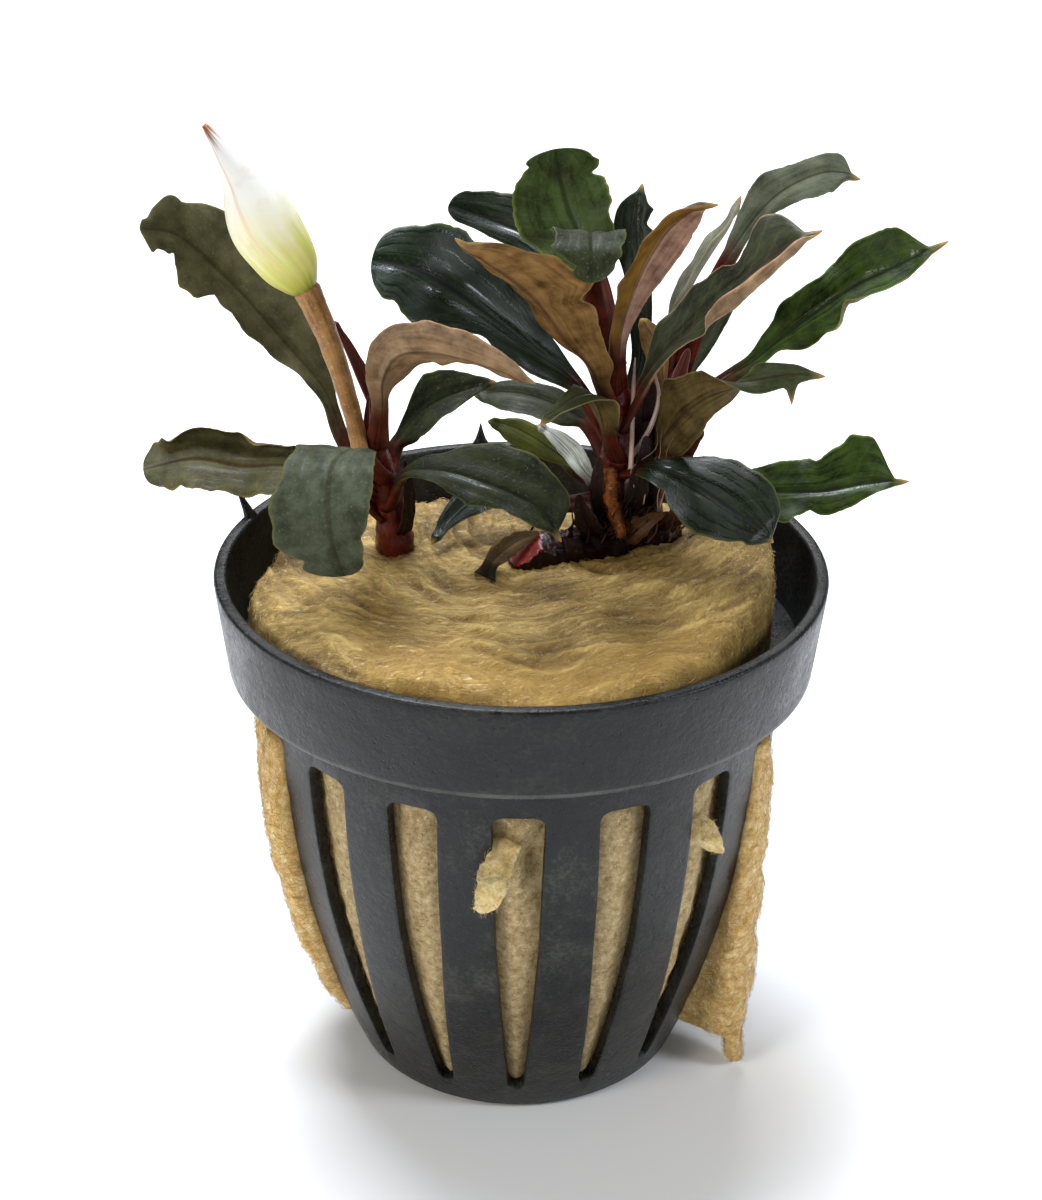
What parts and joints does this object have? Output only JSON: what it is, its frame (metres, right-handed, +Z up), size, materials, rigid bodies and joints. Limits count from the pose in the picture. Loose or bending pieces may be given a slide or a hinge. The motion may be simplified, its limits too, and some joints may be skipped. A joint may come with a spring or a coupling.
{
  "type": "potted aquarium plant",
  "caption": "Small broad-leaved aquarium plant with dark green leaves and a cream hooded flower, rooted in rock wool in a slotted round plastic net pot.",
  "frame": {"origin": "middle of the pot's foot, on the surface it stands on", "axes": "+Z up along the pot's axis, -Y towards the front slot between the two shoots, +X towards the shoot with the taller leaves"},
  "size_m": [0.0632, 0.05, 0.0821],
  "materials": {
    "net_pot": "satin slate-grey moulded plastic",
    "rock_wool": "matte fibrous mineral wool, tan",
    "leaf_green": "glossy dark green leaf",
    "leaf_olive": "satin olive-grey leaf",
    "leaf_bright": "glossy fresh green leaf",
    "leaf_brown": "matte tan-brown underside of a leaf",
    "stem": "glossy dark red-brown stem",
    "stalk": "satin pinkish-brown stalk",
    "root": "matte orange-brown root",
    "spathe": "thin satin cream hood leaf"
  },
  "bodies": {
    "root": {"flower_spathe": "spathe", "flower_stalk": "stalk", "hanging_root": "root", "leaf_back_left": "leaf_green", "leaf_back_round": "leaf_bright", "leaf_back_small": "leaf_green", "leaf_edge_on": "leaf_green", "leaf_front_drooping": "leaf_green", "leaf_front_glossy": "leaf_green", "leaf_inner_bright": "leaf_green", "leaf_inner_dark": "leaf_green", "leaf_inner_folded": "leaf_brown", "leaf_inner_green": "leaf_bright", "leaf_left_arched": "leaf_brown", "leaf_left_front": "leaf_olive", "leaf_left_grooved": "leaf_green", "leaf_left_inner": "leaf_green", "leaf_left_low": "leaf_olive", "leaf_left_tall": "leaf_olive", "leaf_low_right": "leaf_bright", "leaf_narrow_grey": "leaf_green", "leaf_right_broad": "leaf_green", "leaf_right_brown_pointed": "leaf_brown", "leaf_right_brown_wide": "leaf_brown", "leaf_right_folded": "leaf_green", "leaf_right_long": "leaf_green", "leaf_right_twisted": "leaf_brown", "leaf_small_brown": "leaf_brown", "leaf_small_dark": "leaf_green", "leaf_top_right": "leaf_green", "left_stem": "stem", "net_pot": "net_pot", "rhizome": "stem", "right_stem": "stem", "rock_wool": "rock_wool", "side_stem": "stem", "stalk_sheath": "stalk"}
  },
  "joints": []
}
